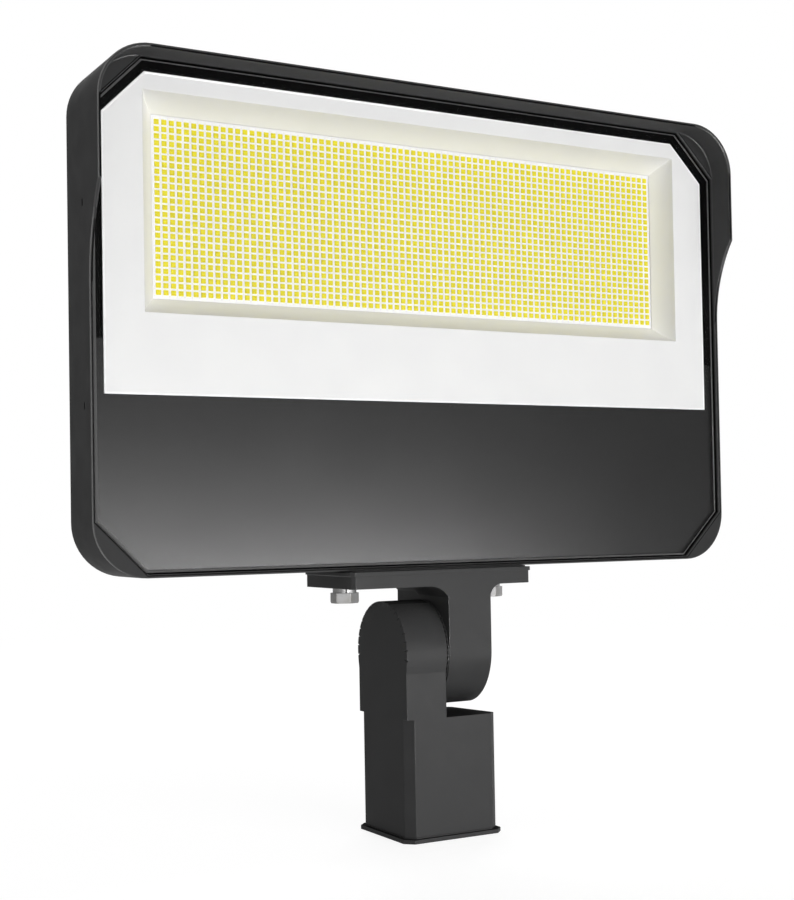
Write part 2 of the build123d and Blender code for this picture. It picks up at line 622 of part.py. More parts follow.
def make_housing():
    housing = slab(head_outline(), RIM_Y, WALL_BACK_Y)
    housing = chamfer(housing.faces().sort_by(Axis.Y)[-1].edges(), BACK_EDGE_BREAK)
    housing -= slab(lens_outline(), RIM_Y, LEDGE_Y)
    housing = chamfer(housing.faces().sort_by(Axis.Y)[0].inner_wires()[0].edges(), EDGE_BREAK)
    housing -= slab(lens_outline(LEDGE_INSET) & above(BAY_BOTTOM_Z), LEDGE_Y, BAY_FLOOR_Y)
    back = head_outline(BACK_WALL)
    housing -= slab(back & above(DRIVER_BOX_TOP_Z), BAY_FLOOR_Y + BAY_FLOOR_THICKNESS, WALL_BACK_Y)
    housing -= slab((back & below(DRIVER_BOX_TOP_Z)) - driver_box_outline(), DRIVER_FLOOR_Y, WALL_BACK_Y)
    housing += slab(driver_box_outline(), LEDGE_Y, DRIVER_BOX_BACK_Y)
    housing -= slab(driver_box_outline(DRIVER_WALL), DRIVER_FLOOR_Y, DRIVER_BOX_BACK_Y)
    posts = [slab(square_at(x, z, POST_HALF_WIDTH), REFLECTOR_BACK_Y, BAY_FLOOR_Y) for x, z in post_spots()]
    cover_bosses = [slab(square_at(x, z, COVER_BOSS_HALF_WIDTH), DRIVER_FLOOR_Y, DRIVER_BOX_BACK_Y)
                    for x, z in cover_screw_spots()]
    boss_top_z = HEAD_BOTTOM_Z + BRACKET_BOLT_DEPTH + BRACKET_BOSS_ROOF
    bolt_bosses = [rise(square_at(x, 0, BRACKET_BOSS_HALF_WIDTH), HEAD_BOTTOM_Z, boss_top_z)
                   for x in BRACKET_BOLT_XS]
    housing += make_fins() + posts + cover_bosses + bolt_bosses + [make_visor()]
    cuts = []
    for x in BRACKET_BOLT_XS:
        hole_top_z = HEAD_BOTTOM_Z + BRACKET_BOLT_DEPTH + DRILL_TIP
        cuts.append(z_rod(BRACKET_BOLT_R + THREAD_CLEARANCE, HEAD_BOTTOM_Z, hole_top_z, x, 0))
    for x, z in cover_screw_spots():
        hole_end_y = DRIVER_BOX_BACK_Y - COVER_SCREW_DEPTH - DRILL_TIP
        cuts.append(y_rod(COVER_SCREW_R + THREAD_CLEARANCE, hole_end_y, DRIVER_BOX_BACK_Y, x, z))
    small_r = SMALL_SCREW_R + THREAD_CLEARANCE
    small_depth = SMALL_SCREW_DEPTH + SMALL_DRILL_TIP
    for x, z in board_screw_spots():
        cuts.append(y_rod(small_r, BAY_FLOOR_Y, BAY_FLOOR_Y + small_depth, x, z))
    for x in (-DC_LEAD_X, DC_LEAD_X):
        cuts.append(z_rod(GROMMET_R + GROMMET_CLEARANCE, DRIVER_BOX_TOP_Z - DRIVER_WALL, BAY_BOTTOM_Z, x, DC_LEAD_Y))
    cuts.append(z_rod(WIREWAY_R, HEAD_BOTTOM_Z, HEAD_BOTTOM_Z + DRIVER_WALL, LEAD_HOLE_X, 0))
    for side in (-1, 1):
        for z in WALL_SLOT_ZS:
            slot = Box(2 * WALL_SLOT_DEPTH, WALL_SLOT_WIDTH, WALL_SLOT_HEIGHT)
            cuts.append(Pos(side * HEAD_WIDTH / 2, WALL_SLOT_Y, z) * slot)
    return housing - cuts


def make_lens_glass():
    glass = slab(lens_outline(LENS_GAP), LENS_FRONT_Y, LENS_BACK_Y)
    return chamfer(glass.faces().sort_by(Axis.Y)[0].edges(), LENS_BEVEL)


def reflector_outline(inset=0.0):
    """The reflector panel's outline, moved inwards by inset."""
    return lens_outline(REFLECTOR_INSET + inset) & above(REFLECTOR_BOTTOM_Z + inset)


def make_baffle_plate():
    """The black sheet behind the lens, below the reflector and up an ear on each side of it."""
    outline = lens_outline(LENS_GAP) & below(REFLECTOR_BOTTOM_Z + BAFFLE_EAR_HEIGHT)
    outline -= reflector_outline(-BAFFLE_GAP)
    return slab(outline, LENS_BACK_Y, LENS_BACK_Y + BAFFLE_THICKNESS)


def make_lens_gasket():
    """The lens's seal on its ledge, thinner where the baffle lies on it."""
    ring = lens_outline(LENS_GAP) - lens_outline(LENS_GAP + LENS_GASKET_WIDTH)
    return slab(ring, LENS_BACK_Y, LEDGE_Y) - make_baffle_plate()


# LED bay
def well(grow):
    """The flared hollow of the reflector, its walls slightly dished, grown by the sheet's thickness."""
    sides = []
    for half, centre in ((WELL_HALF_WIDTH, 0.0), (WELL_HALF_HEIGHT, LED_CENTRE_Z)):
        front = half + grow
        back = half - WELL_RUN + grow
        middle_y = (REFLECTOR_FRONT_Y + WELL_END_Y) / 2
        middle = (front + back) / 2 + WELL_SAG
        line = ThreePointArc((front, REFLECTOR_FRONT_Y), (middle, middle_y), (back, WELL_END_Y))
        line += Line((back, WELL_END_Y), (-back, WELL_END_Y))
        line += ThreePointArc((-back, WELL_END_Y), (-middle, middle_y), (-front, REFLECTOR_FRONT_Y))
        line += Line((-front, REFLECTOR_FRONT_Y), (front, REFLECTOR_FRONT_Y))
        sides.append((make_face(line), centre))
    across, _ = sides[0]
    upright, centre_z = sides[1]
    wide = rise(across, centre_z - HEAD_HEIGHT / 2, centre_z + HEAD_HEIGHT / 2)
    plane = Plane(origin=(-HEAD_WIDTH / 2, 0, centre_z), x_dir=(0, 0, 1), z_dir=(-1, 0, 0))
    tall = extrude(plane * upright, amount=-HEAD_WIDTH)
    return wide & tall


def make_reflector():
    sheet = slab(reflector_outline(), REFLECTOR_FRONT_Y, REFLECTOR_BACK_Y)
    return sheet + well(REFLECTOR_SHEET) - well(0.0)


def board_outline(inset=0.0):
    width = 2 * (BOARD_HALF_WIDTH - inset)
    height = 2 * (BOARD_HALF_HEIGHT - inset)
    return Pos(0, LED_CENTRE_Z) * RectangleRounded(width, height, BOARD_CORNER_R)


def make_thermal_pad():
    return slab(board_outline(PAD_INSET), BOARD_BACK_Y, BAY_FLOOR_Y)


def make_led_board():
    radius = SMALL_SCREW_R + THREAD_CLEARANCE
    holes = [y_rod(radius, BOARD_FRONT_Y, BOARD_BACK_Y, x, z) for x, z in board_screw_spots()]
    return slab(board_outline(), BOARD_FRONT_Y, BOARD_BACK_Y) - holes


def make_led_rows():
    """The chips of each row, as one strip per row."""
    strips = []
    for row in range(LED_ROWS):
        low_z = LED_CENTRE_Z - LED_HALF_HEIGHT + row * LED_ROW_PITCH
        strip = rect(-LED_HALF_WIDTH, LED_HALF_WIDTH, low_z, low_z + LED_CHIP)
        strips.append(slab(strip, BOARD_FRONT_Y - LED_THICKNESS, BOARD_FRONT_Y))
    return group(strips)


def make_board_screws():
    length = BOARD_THICKNESS + PAD_THICKNESS + SMALL_SCREW_DEPTH
    screw = hex_bolt(SMALL_SCREW_FLATS, SMALL_SCREW_HEAD, SMALL_SCREW_R, length)
    return group([Pos(x, BOARD_FRONT_Y, z) * Rot(-90, 0, 0) * screw for x, z in board_screw_spots()])


def make_board_connectors():
    low_z = LED_CENTRE_Z - BOARD_HALF_HEIGHT + CONNECTOR_MARGIN
    plugs = []
    for x in (-DC_LEAD_X, DC_LEAD_X):
        outline = rect(x - CONNECTOR_WIDTH / 2, x + CONNECTOR_WIDTH / 2, low_z, low_z + CONNECTOR_HEIGHT)
        plug = slab(outline, BOARD_FRONT_Y - CONNECTOR_DEPTH, BOARD_FRONT_Y)
        plugs.append(chamfer(plug.faces().sort_by(Axis.Y)[0].edges(), CONNECTOR_MARGIN / 2))
    return group(plugs)


# Driver bay
def make_led_drivers():
    """Cases on feet, with the heads of the screws that hold each foot."""
    case = slab(rect(-DRIVER_LENGTH / 2, DRIVER_LENGTH / 2, -DRIVER_HEIGHT / 2, DRIVER_HEIGHT / 2), 0, DRIVER_DEPTH)
    case = chamfer(case.edges().filter_by(Axis.X), DRIVER_EDGE)
    foot_x = DRIVER_LENGTH / 2 + DRIVER_FOOT
    foot_z = DRIVER_HEIGHT / 2 - 2 * DRIVER_EDGE
    driver = case + slab(rect(-foot_x, foot_x, -foot_z, foot_z), 0, DRIVER_FOOT_THICKNESS)
    for side in (-1, 1):
        head = Pos(side * (foot_x - DRIVER_FOOT / 2), 0) * hexagon(SMALL_SCREW_FLATS)
        driver += slab(head, DRIVER_FOOT_THICKNESS, DRIVER_FOOT_THICKNESS + SMALL_SCREW_HEAD)
    return group([Pos(side * DRIVER_CENTRE_X, DRIVER_FLOOR_Y, DRIVER_CENTRE_Z) * driver for side in (-1, 1)])


def make_terminal_block():
    outline = rect(TERMINAL_LEFT_X, TERMINAL_LEFT_X + TERMINAL_WIDTH, TERMINAL_LOW_Z,
                   TERMINAL_LOW_Z + TERMINAL_HEIGHT)
    block = slab(outline, DRIVER_FLOOR_Y, DRIVER_FLOOR_Y + TERMINAL_DEPTH)
    pitch = TERMINAL_WIDTH / TERMINAL_POLES
    back_y = DRIVER_FLOOR_Y + TERMINAL_DEPTH
    for pole in range(TERMINAL_POLES):
        x = TERMINAL_LEFT_X + pitch * (pole + 0.5)
        for z in (TERMINAL_LOW_Z + TERMINAL_HEIGHT / 4, TERMINAL_LOW_Z + TERMINAL_HEIGHT * 3 / 4):
            block -= slab(square_at(x, z, TERMINAL_ENTRY / 2), back_y - TERMINAL_ENTRY_DEPTH, back_y)
    return block


def make_surge_protector():
    outline = rect(SURGE_LEFT_X, SURGE_LEFT_X + SURGE_WIDTH, SURGE_LOW_Z, SURGE_LOW_Z + SURGE_HEIGHT)
    case = slab(outline, DRIVER_FLOOR_Y, DRIVER_FLOOR_Y + SURGE_DEPTH)
    return chamfer(case.edges().filter_by(Axis.Y) + case.faces().sort_by(Axis.Y)[-1].edges(), SURGE_EDGE)


def make_ac_leads():
    """Straight leads from the terminal block up to both drivers and across to the surge protector."""
    block_top_z = TERMINAL_LOW_Z + TERMINAL_HEIGHT + LEAD_END_GAP
    block_right_x = TERMINAL_LEFT_X + TERMINAL_WIDTH + LEAD_END_GAP
    driver_z = DRIVER_CENTRE_Z - DRIVER_HEIGHT / 2 - LEAD_END_GAP
    feed_x = DRIVER_CENTRE_X - DRIVER_LENGTH / 2 + DRIVER_FEED_INSET
    leads = [z_rod(LEAD_R, block_top_z, driver_z, side * feed_x, LEAD_Y) for side in (-1, 1)]
    surge_z = TERMINAL_LOW_Z + TERMINAL_HEIGHT / 2
    leads.append(x_rod(LEAD_R, block_right_x, SURGE_LEFT_X - LEAD_END_GAP, LEAD_Y, surge_z))
    return group(leads)


def make_dc_leads():
    """Leads from the drivers through the bay's divider to the board's connectors."""
    low_z = DRIVER_CENTRE_Z + DRIVER_HEIGHT / 2 + LEAD_END_GAP
    high_z = LED_CENTRE_Z - BOARD_HALF_HEIGHT + CONNECTOR_MARGIN - LEAD_END_GAP
    return group([z_rod(DC_LEAD_R, low_z, high_z, x, DC_LEAD_Y) for x in (-DC_LEAD_X, DC_LEAD_X)])


def make_lead_grommets():
    low_z = DRIVER_BOX_TOP_Z - DRIVER_WALL
    grommets = []
    for x in (-DC_LEAD_X, DC_LEAD_X):
        grommet = z_rod(GROMMET_R, low_z, BAY_BOTTOM_Z, x, DC_LEAD_Y)
        grommets.append(grommet - z_rod(DC_LEAD_R + GROMMET_CLEARANCE, low_z, BAY_BOTTOM_Z, x, DC_LEAD_Y))
    return group(grommets)


def make_rear_cover():
    cover = slab(driver_box_outline(), COVER_FRONT_Y, COVER_BACK_Y)
    cover = chamfer(cover.faces().sort_by(Axis.Y)[-1].edges(), BACK_EDGE_BREAK)
    field = driver_box_rect(COVER_FIELD_INSET, COVER_FIELD_CORNER_R)
    cover += slab(field, COVER_BACK_Y, COVER_BACK_Y + COVER_FIELD_HEIGHT)
    holes = [y_rod(COVER_SCREW_R + THREAD_CLEARANCE, COVER_FRONT_Y, COVER_BACK_Y, x, z)
             for x, z in cover_screw_spots()]
    holes.append(y_rod(VENT_THREAD_R + THREAD_CLEARANCE, COVER_FRONT_Y, COVER_BACK_Y + COVER_FIELD_HEIGHT,
                       VENT_X, VENT_Z))
    return cover - holes


def make_rear_cover_gasket():
    ring = driver_box_outline(EDGE_BREAK) - driver_box_outline(EDGE_BREAK + COVER_GASKET_WIDTH)
    return slab(ring, DRIVER_BOX_BACK_Y, COVER_FRONT_Y)


def make_rear_cover_screws():
    length = COVER_THICKNESS + COVER_GASKET_THICKNESS + COVER_SCREW_DEPTH
    screw = hex_bolt(COVER_SCREW_FLATS, COVER_SCREW_HEAD, COVER_SCREW_R, length)
    return group([Pos(x, COVER_BACK_Y, z) * Rot(90, 0, 0) * screw for x, z in cover_screw_spots()])


def make_breather_vent():
    seat_y = COVER_BACK_Y + COVER_FIELD_HEIGHT
    vent = y_rod(VENT_THREAD_R, seat_y - VENT_DEPTH, seat_y, VENT_X, VENT_Z)
    vent += slab(Pos(VENT_X, VENT_Z) * hexagon(VENT_FLATS), seat_y, seat_y + VENT_BASE)
    cap = Pos(VENT_X, VENT_Z) * RegularPolygon(VENT_CAP_R, VENT_CAP_SIDES)
    return vent + slab(cap, seat_y + VENT_BASE, seat_y + VENT_BASE + VENT_CAP)


NODES = {
    "slipfitter_body": make_slipfitter_body,
    "tenon_set_screws": make_tenon_set_screws,
    "pivot_bolt": make_pivot_bolt,
    "pivot_flat_washer": make_pivot_flat_washer,
    "pivot_spring_washer": make_pivot_spring_washer,
    "bracket": make_bracket,
    "bracket_gasket": make_bracket_gasket,
    "bracket_bolts": make_bracket_bolts,
    "bracket_spring_washers": make_bracket_spring_washers,
    "housing": make_housing,
    "lens_glass": make_lens_glass,
    "lens_gasket": make_lens_gasket,
    "reflector": make_reflector,
    "led_board": make_led_board,
    "led_rows": make_led_rows,
    "thermal_pad": make_thermal_pad,
    "board_screws": make_board_screws,
    "board_connectors": make_board_connectors,
    "baffle_plate": make_baffle_plate,
    "led_drivers": make_led_drivers,
    "terminal_block": make_terminal_block,
    "surge_protector": make_surge_protector,
    "ac_leads": make_ac_leads,
    "dc_leads": make_dc_leads,
    "lead_grommets": make_lead_grommets,
    "rear_cover": make_rear_cover,
    "rear_cover_gasket": make_rear_cover_gasket,
    "rear_cover_screws": make_rear_cover_screws,
    "breather_vent": make_breather_vent,
}

os.makedirs("parts", exist_ok=True)
for name, make in NODES.items():
    export_step(make(), f"parts/{name}.step")
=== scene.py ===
import math

import bmesh
import bpy
from mathutils import Matrix, Vector


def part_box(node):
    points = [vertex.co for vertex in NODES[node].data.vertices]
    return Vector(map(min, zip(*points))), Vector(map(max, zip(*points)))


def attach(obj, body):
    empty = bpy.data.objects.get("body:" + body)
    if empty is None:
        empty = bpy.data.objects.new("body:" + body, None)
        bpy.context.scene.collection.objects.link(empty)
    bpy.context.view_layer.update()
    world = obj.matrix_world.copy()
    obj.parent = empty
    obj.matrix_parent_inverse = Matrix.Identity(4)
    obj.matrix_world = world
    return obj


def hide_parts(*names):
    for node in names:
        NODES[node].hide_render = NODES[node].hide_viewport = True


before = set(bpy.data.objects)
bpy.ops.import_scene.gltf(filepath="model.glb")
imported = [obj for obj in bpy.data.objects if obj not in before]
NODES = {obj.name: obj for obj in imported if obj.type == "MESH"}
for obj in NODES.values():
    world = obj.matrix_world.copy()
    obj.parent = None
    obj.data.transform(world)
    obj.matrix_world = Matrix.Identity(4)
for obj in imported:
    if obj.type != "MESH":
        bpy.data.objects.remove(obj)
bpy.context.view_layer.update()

# Camera, where the photograph was taken from
CAMERA_PLACE = (-0.60554, -1.02785, 0.24533)
CAMERA_RIGHT = (0.86938843, -0.49381601, -0.01759291)
CAMERA_UP = (0.00207158, -0.03196106, 0.99948697)
CAMERA_BACK = (-0.49412496, -0.86897885, -0.02676359)
CAMERA_LENS_MM = 60.0
CAMERA_SENSOR_MM = 36.0
CAMERA_SHIFT = (-0.0044, 0.0328)
CAMERA_NEAR = 0.01

# Studio
FLOOR_HALF = 14.0
FLOOR_COLOUR = 0.75
FLOOR_SHOWN_COLOUR = 0.25
FLOOR_SHOWN_GLOW = 0.87
FLOOR_FADE_NEAR = 0.7
FLOOR_FADE_FAR = 2.2
SKY_LEVEL = 0.24

# What the lamps point at
HEAD_MIDDLE = (0.0, 0.0, 0.35)

# Rays that find the rounding of an edge
BEVEL_SAMPLES = 6

# Front of the lens, behind which edges get neither wear nor painted highlight, and how softly that begins
LENS_DEPTH = 0.0275
MARK_FADE = 0.001

# Near-black painted shade round the glass, where the recess lies in shade: how far it reaches over the land
# in front and over the pocket's wall, and the depth of the ledge behind which there is none
SHADE_REACH = 0.0024
POCKET_REACH = 0.0013
SHADE_FADE = 0.0003
SHADE_TONE = 0.002
LEDGE_DEPTH = 0.0232
LEDGE_FADE = 0.0005

# The rim's front land, with a painted glint on its edges that lean to -X as if lit from the left: how
# squarely it faces the front, how far its edge leans where the glint is painted, and where along the width
# the glint fades, and to what
LAND_FACING = (-0.95, -0.9)
GLINT_LEAN = (-0.10, -0.30)
GLINT_X = (-0.1, 0.1)
GLINT_LEAST = 0.25
GLINT_TONE = 0.17

# LED field
LED_COLUMNS = 78
LED_ROWS = 25
LED_STRIP = 0.0045
LED_CHIP = 0.0038
CHIP_FRAME_DEPTH = 0.00012
CHIP_PAD_INSET = 0.00018
CHIP_PAD_GROOVE = 0.00022
CHIP_PAD_DRAFT = 0.00010
PAD_MATERIAL = 0
FRAME_MATERIAL = 1

# Whole pitches added to a place, so that the fold below starts from a positive number
PITCHES_AHEAD = 1000

# Bead round the edge of the reflector panel, where the sheet is turned back
BEAD_WIDTH = 0.0015
BEAD_PROUD = 0.0002
BEAD_OVERLAP = 0.00015
BEAD_STEPS = 6
SAME_PLACE = 0.00002

# How far the baffle and the gasket lie behind the glass
GLASS_CLEARANCE = 0.00015

# Knuckle
PIVOT_Z = 0.1425
LUG_RIGHT_X = -0.006
KNUCKLE_GAP = 0.0026
KNUCKLE_SHOULDER_Z = 0.1315
SOCKET_HALF_DEPTH = 0.038
SOCKET_TOP_Z = 0.093
SOCKET_TOP_DRAIN = 0.035
LEG_END_STRETCH = 1.085
LUG_SHOULDER_STRETCH = 1.36
TEETH_INNER_R = 0.0367
TEETH_OUTER_R = 0.0393
TOOTH_COUNT = 60
TOOTH_REACH = 0.00115
TOP_FACING = 0.95


# Node helpers
class Shader:
    """A material being built: its tree, and short ways to add nodes to it."""

    def __init__(self, name):
        self.material = bpy.data.materials.new(name)
        self.material.use_nodes = True
        self.tree = self.material.node_tree
        self.tree.nodes.clear()
        own = self.add("TexCoord").outputs
        self.place = own["Object"]
        self.facing = own["Normal"]
        self.true_normal = self.add("NewGeometry").outputs["True Normal"]
        turned = self.add("VectorTransform", {"Vector": self.true_normal}, vector_type="NORMAL",
                          convert_from="WORLD", convert_to="OBJECT")
        self.true_facing = turned.outputs[0]

    def add(self, kind, inputs=None, **settings):
        made = self.tree.nodes.new("ShaderNode" + kind)
        for name, value in settings.items():
            setattr(made, name, value)
        for name, value in (inputs or {}).items():
            if isinstance(value, bpy.types.NodeSocket):
                self.tree.links.new(value, made.inputs[name])
            else:
                made.inputs[name].default_value = value
        return made

    def math(self, operation, a, b=0.0):
        return self.add("Math", {0: a, 1: b}, operation=operation).outputs[0]

    def span(self, value, low, high, to_low=0.0, to_high=1.0, soft=False):
        """value stretched from low..high to to_low..to_high, and held there beyond."""
        steps = "SMOOTHSTEP" if soft else "LINEAR"
        made = self.add("MapRange", {"Value": value, "From Min": low, "From Max": high, "To Min": to_low,
                                     "To Max": to_high}, interpolation_type=steps)
        return made.outputs["Result"]

    def noise(self, size, detail=2.0, stretch=None):
        """Noise whose lumps are about size metres across."""
        place = self.place
        if stretch:
            place = self.add("VectorMath", {0: place, 1: stretch}, operation="MULTIPLY").outputs[0]
        made = self.add("TexNoise", {"Vector": place, "Scale": 1.0 / size, "Detail": detail})
        return made.outputs["Fac"]

    def mix(self, factor, a, b):
        """Colour a turning into colour b."""
        made = self.add("Mix", {0: factor, 6: a, 7: b}, data_type="RGBA")
        return made.outputs[2]

    def axis(self, name, vector=None):
        return self.add("SeparateXYZ", {0: vector or self.place}).outputs[name]

    def rounded(self, radius):
        """The part's normal with its edges rounded to radius."""
        return self.add("Bevel", {"Radius": radius}, samples=BEVEL_SAMPLES).outputs[0]

    def edges(self, radius):
        """1 on the part's edges and 0 on its flats."""
        flat = self.add("NewGeometry").outputs["Normal"]
        both = {0: self.rounded(radius), 1: flat}
        along = self.add("VectorMath", both, operation="DOT_PRODUCT").outputs["Value"]
        return self.span(along, 0.995, 0.80)

    def bump(self, height, strength, distance, radius=0.0):
        """Bumps on the part's shape, whose edges are rounded to radius, or on its true flat faces."""
        base = self.rounded(radius) if radius else self.true_normal
        inputs = {"Height": height, "Strength": strength, "Distance": distance, "Normal": base}
        return self.add("Bump", inputs).outputs[0]

    def surface(self, **inputs):
        """Principled surface. Keywords are its socket names with _ for spaces."""
        named = {name.replace("_", " "): value for name, value in inputs.items()}
        self.finish(self.add("BsdfPrincipled", named).outputs[0])
        return self.material

    def finish(self, shader):
        out = self.add("OutputMaterial")
        self.tree.links.new(shader, out.inputs["Surface"])
        return self.material


def grey(value, tint=(1.0, 1.0, 1.0)):
    return (value * tint[0], value * tint[1], value * tint[2], 1.0)


# Materials
def beyond_glass(s):
    """Metres outside the glass's eight-sided outline, seen from the front."""
    low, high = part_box("lens_glass")
    points = [v.co for v in NODES["lens_glass"].data.vertices]
    middle = (low.x + high.x) / 2
    half = (high.x - low.x) / 2
    across = s.math("ABSOLUTE", s.math("SUBTRACT", s.axis("X"), middle))
    up = s.axis("Z")
    out = s.math("MAXIMUM", s.math("SUBTRACT", across, half),
                 s.math("MAXIMUM", s.math("SUBTRACT", up, high.z), s.math("SUBTRACT", low.z, up)))
    for side in (1.0, -1.0):
        reach = max(abs(point.x - middle) + side * point.z for point in points)
        slant = s.math("ADD", across, s.math("MULTIPLY", up, side))
        out = s.math("MAXIMUM", out, s.math("MULTIPLY", s.math("SUBTRACT", slant, reach), math.sqrt(0.5)))
    return out


def recess_shade_and_glint(s, edge_radius):
    """Where the housing is painted near black round the glass as painted shade of the recess, and where its
    front land carries a painted glint.
    """
    beyond = beyond_glass(s)
    forward = s.span(s.axis("Y", s.true_facing), *LAND_FACING, 1.0, 0.0)
    on_land = s.math("MULTIPLY", forward, s.span(beyond, SHADE_REACH, SHADE_REACH + SHADE_FADE, 1.0, 0.0))
    behind = s.span(s.axis("Y"), -LENS_DEPTH - MARK_FADE, -LENS_DEPTH)
    in_pocket = s.math("MULTIPLY", behind, s.span(beyond, POCKET_REACH, POCKET_REACH + SHADE_FADE, 1.0, 0.0))
    before_ledge = s.span(s.axis("Y"), -LEDGE_DEPTH, -LEDGE_DEPTH + LEDGE_FADE, 1.0, 0.0)
    recess_shade = s.math("MULTIPLY", s.math("MAXIMUM", on_land, in_pocket), before_ledge)
    lean = s.axis("X", s.rounded(edge_radius))
    painted_glint = s.math("MULTIPLY", forward, s.span(lean, *GLINT_LEAN))
    painted_glint = s.math("MULTIPLY", painted_glint, s.span(s.axis("X"), *GLINT_X, 1.0, GLINT_LEAST))
    return recess_shade, s.math("MULTIPLY", painted_glint, before_ledge)


def powder_coat(name, level, edge_radius=0.0009, edge_polish=0.25, roughness=0.5, shine=0.04, edge_highlight_tone=1.5,
                recess_shaded=False):
    """Charcoal powder coat on a casting: orange peel, cloudy tone, dust on top, polished outer edges painted
    lighter, partly as wear and partly as a painted highlight.
    """
    s = Shader(name)
    mottle = s.noise(0.018, detail=5.0)
    cloud = s.noise(0.14, detail=2.0)
    cool = (1.0, 1.0, 1.01)
    colour = s.mix(s.span(mottle, 0.3, 0.7), grey(level * 0.94, cool), grey(level * 1.05, cool))
    colour = s.mix(s.span(cloud, 0.35, 0.65, 0.0, 0.35), colour, grey(level * 1.12, cool))
    up = s.axis("Z", s.facing)
    speck = s.noise(0.0016, detail=3.0)
    dust = s.math("MULTIPLY", s.span(up, 0.55, 1.0), s.span(speck, 0.45, 0.75, 0.0, 0.14))
    colour = s.mix(dust, colour, grey(0.11, (1.04, 1.0, 0.93)))
    outside = s.span(s.axis("Y"), -LENS_DEPTH - MARK_FADE, -LENS_DEPTH, 1.0, 0.0)
    bracket_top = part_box("bracket")[1].z
    below = s.span(s.axis("Z"), bracket_top, bracket_top + MARK_FADE, 1.0, 0.0)
    outside = s.math("MAXIMUM", outside, below)
    # Lighter edges: partly wear, partly a painted highlight along the rounded edges, only in front of the
    # lens and below the bracket's top.
    worn_and_highlit = s.math("MULTIPLY", s.edges(edge_radius), s.span(mottle, 0.3, 0.7, 0.7, 1.0))
    worn_and_highlit = s.math("MULTIPLY", worn_and_highlit, outside)
    colour = s.mix(worn_and_highlit, colour, grey(level * edge_highlight_tone, cool))
    if recess_shaded:
        recess_shade, painted_glint = recess_shade_and_glint(s, edge_radius)
        # Painted glint on the front land's edges that lean to -X, fading towards +X, as if lit from the left.
        colour = s.mix(painted_glint, colour, grey(GLINT_TONE))
        # Near-black painted shade round the glass, where the recess lies in shade.
        colour = s.mix(recess_shade, colour, grey(SHADE_TONE))
        worn_and_highlit = s.math("MULTIPLY", worn_and_highlit, s.math("SUBTRACT", 1.0, recess_shade))
    polish = s.math("MULTIPLY", worn_and_highlit, edge_polish)
    peel = s.math("ADD", s.noise(0.0011, detail=2.0), s.math("MULTIPLY", s.noise(0.0003), 0.35))
    rough = s.span(mottle, 0.3, 0.7, roughness - 0.05, roughness + 0.05)
    rounded = s.bump(peel, 0.35, 0.00012, radius=edge_radius)
    return s.surface(Base_Color=colour, Roughness=rough, Specular_IOR_Level=shine, Coat_Weight=polish,
                     Coat_Roughness=0.24, Normal=rounded, Coat_Normal=rounded)


def plated_steel():
    """Zinc plating with its cloudy grain and faint turning marks."""
    s = Shader("plated_steel")
    grain = s.noise(0.0022, detail=5.0)
    bloom = s.noise(0.009, detail=2.0)
    colour = s.mix(s.span(bloom, 0.35, 0.65), grey(0.29, (1.0, 1.0, 1.01)), grey(0.24, (1.02, 1.0, 0.97)))
    rough = s.span(grain, 0.3, 0.7, 0.46, 0.58)
    marks = s.noise(0.0009, detail=3.0, stretch=(1.0, 1.0, 6.0))
    return s.surface(Base_Color=colour, Metallic=0.3, Specular_IOR_Level=0.2, Roughness=rough,
                     Normal=s.bump(marks, 0.25, 0.00008, radius=0.0004))


def stainless():
    """Satin stainless steel."""
    s = Shader("stainless_steel")
    grain = s.noise(0.0006, detail=4.0, stretch=(1.0, 5.0, 1.0))
    colour = s.mix(grain, grey(0.60), grey(0.48, (1.02, 1.0, 0.97)))
    return s.surface(Base_Color=colour, Metallic=1.0, Roughness=s.span(grain, 0.3, 0.7, 0.25, 0.42),
                     Normal=s.bump(grain, 0.2, 0.00005, radius=0.0003))


def rubber(name, level, roughness=0.8, shine=0.12):
    """Matt moulded rubber with a fine bloom."""
    s = Shader(name)
    bloom = s.noise(0.006, detail=4.0)
    colour = s.mix(s.span(bloom, 0.35, 0.7), grey(level), grey(level * 1.9))
    return s.surface(Base_Color=colour, Roughness=s.span(bloom, 0.3, 0.7, roughness - 0.08, roughness + 0.08),
                     Specular_IOR_Level=shine, Normal=s.bump(s.noise(0.0005), 0.3, 0.00006))


def white_panel():
    """White coated sheet of the reflector, painted warmer down its well as painted yellow light bounced from
    the chips.
    """
    s = Shader("white_reflector")
    low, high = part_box("reflector")
    # Painted yellow light bounced from the chips, growing towards the back of the well.
    painted_chip_bounce = s.span(s.axis("Y"), low.y + 0.003, high.y, 0.0, 1.0, soft=True)
    mottle = s.noise(0.03, detail=4.0)
    colour = s.mix(s.span(mottle, 0.35, 0.65), grey(0.815), grey(0.835, (1.0, 1.0, 0.995)))
    colour = s.mix(s.math("MULTIPLY", painted_chip_bounce, 0.40), colour, (0.94, 0.925, 0.80, 1.0))
    return s.surface(Base_Color=colour, Roughness=s.span(mottle, 0.3, 0.7, 0.38, 0.48),
                     Specular_IOR_Level=0.3, Normal=s.bump(s.noise(0.0012), 0.12, 0.00006, radius=0.0006))


def turned_edge_highlit_white():
    """The panel's edge, where the sheet is turned back and the coat is glossier, painted whiter than the
    panel as a painted highlight.
    """
    s = Shader("turned_edge_highlit_white")
    mottle = s.noise(0.01, detail=3.0)
    # Whiter than the panel: a painted highlight along the turned edge.
    colour = s.mix(mottle, grey(0.93), grey(0.97))
    return s.surface(Base_Color=colour, Roughness=s.span(mottle, 0.3, 0.7, 0.25, 0.35),
                     Specular_IOR_Level=0.5, Normal=s.bump(s.noise(0.001), 0.08, 0.00004))


def led_pitches():
    """Metres from one LED column and row to the next, read off the CAD node."""
    low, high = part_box("led_rows")
    pitch_x = (high.x - low.x - LED_STRIP) / (LED_COLUMNS - 1)
    pitch_z = (high.z - low.z - LED_STRIP) / (LED_ROWS - 1)
    return pitch_x, pitch_z


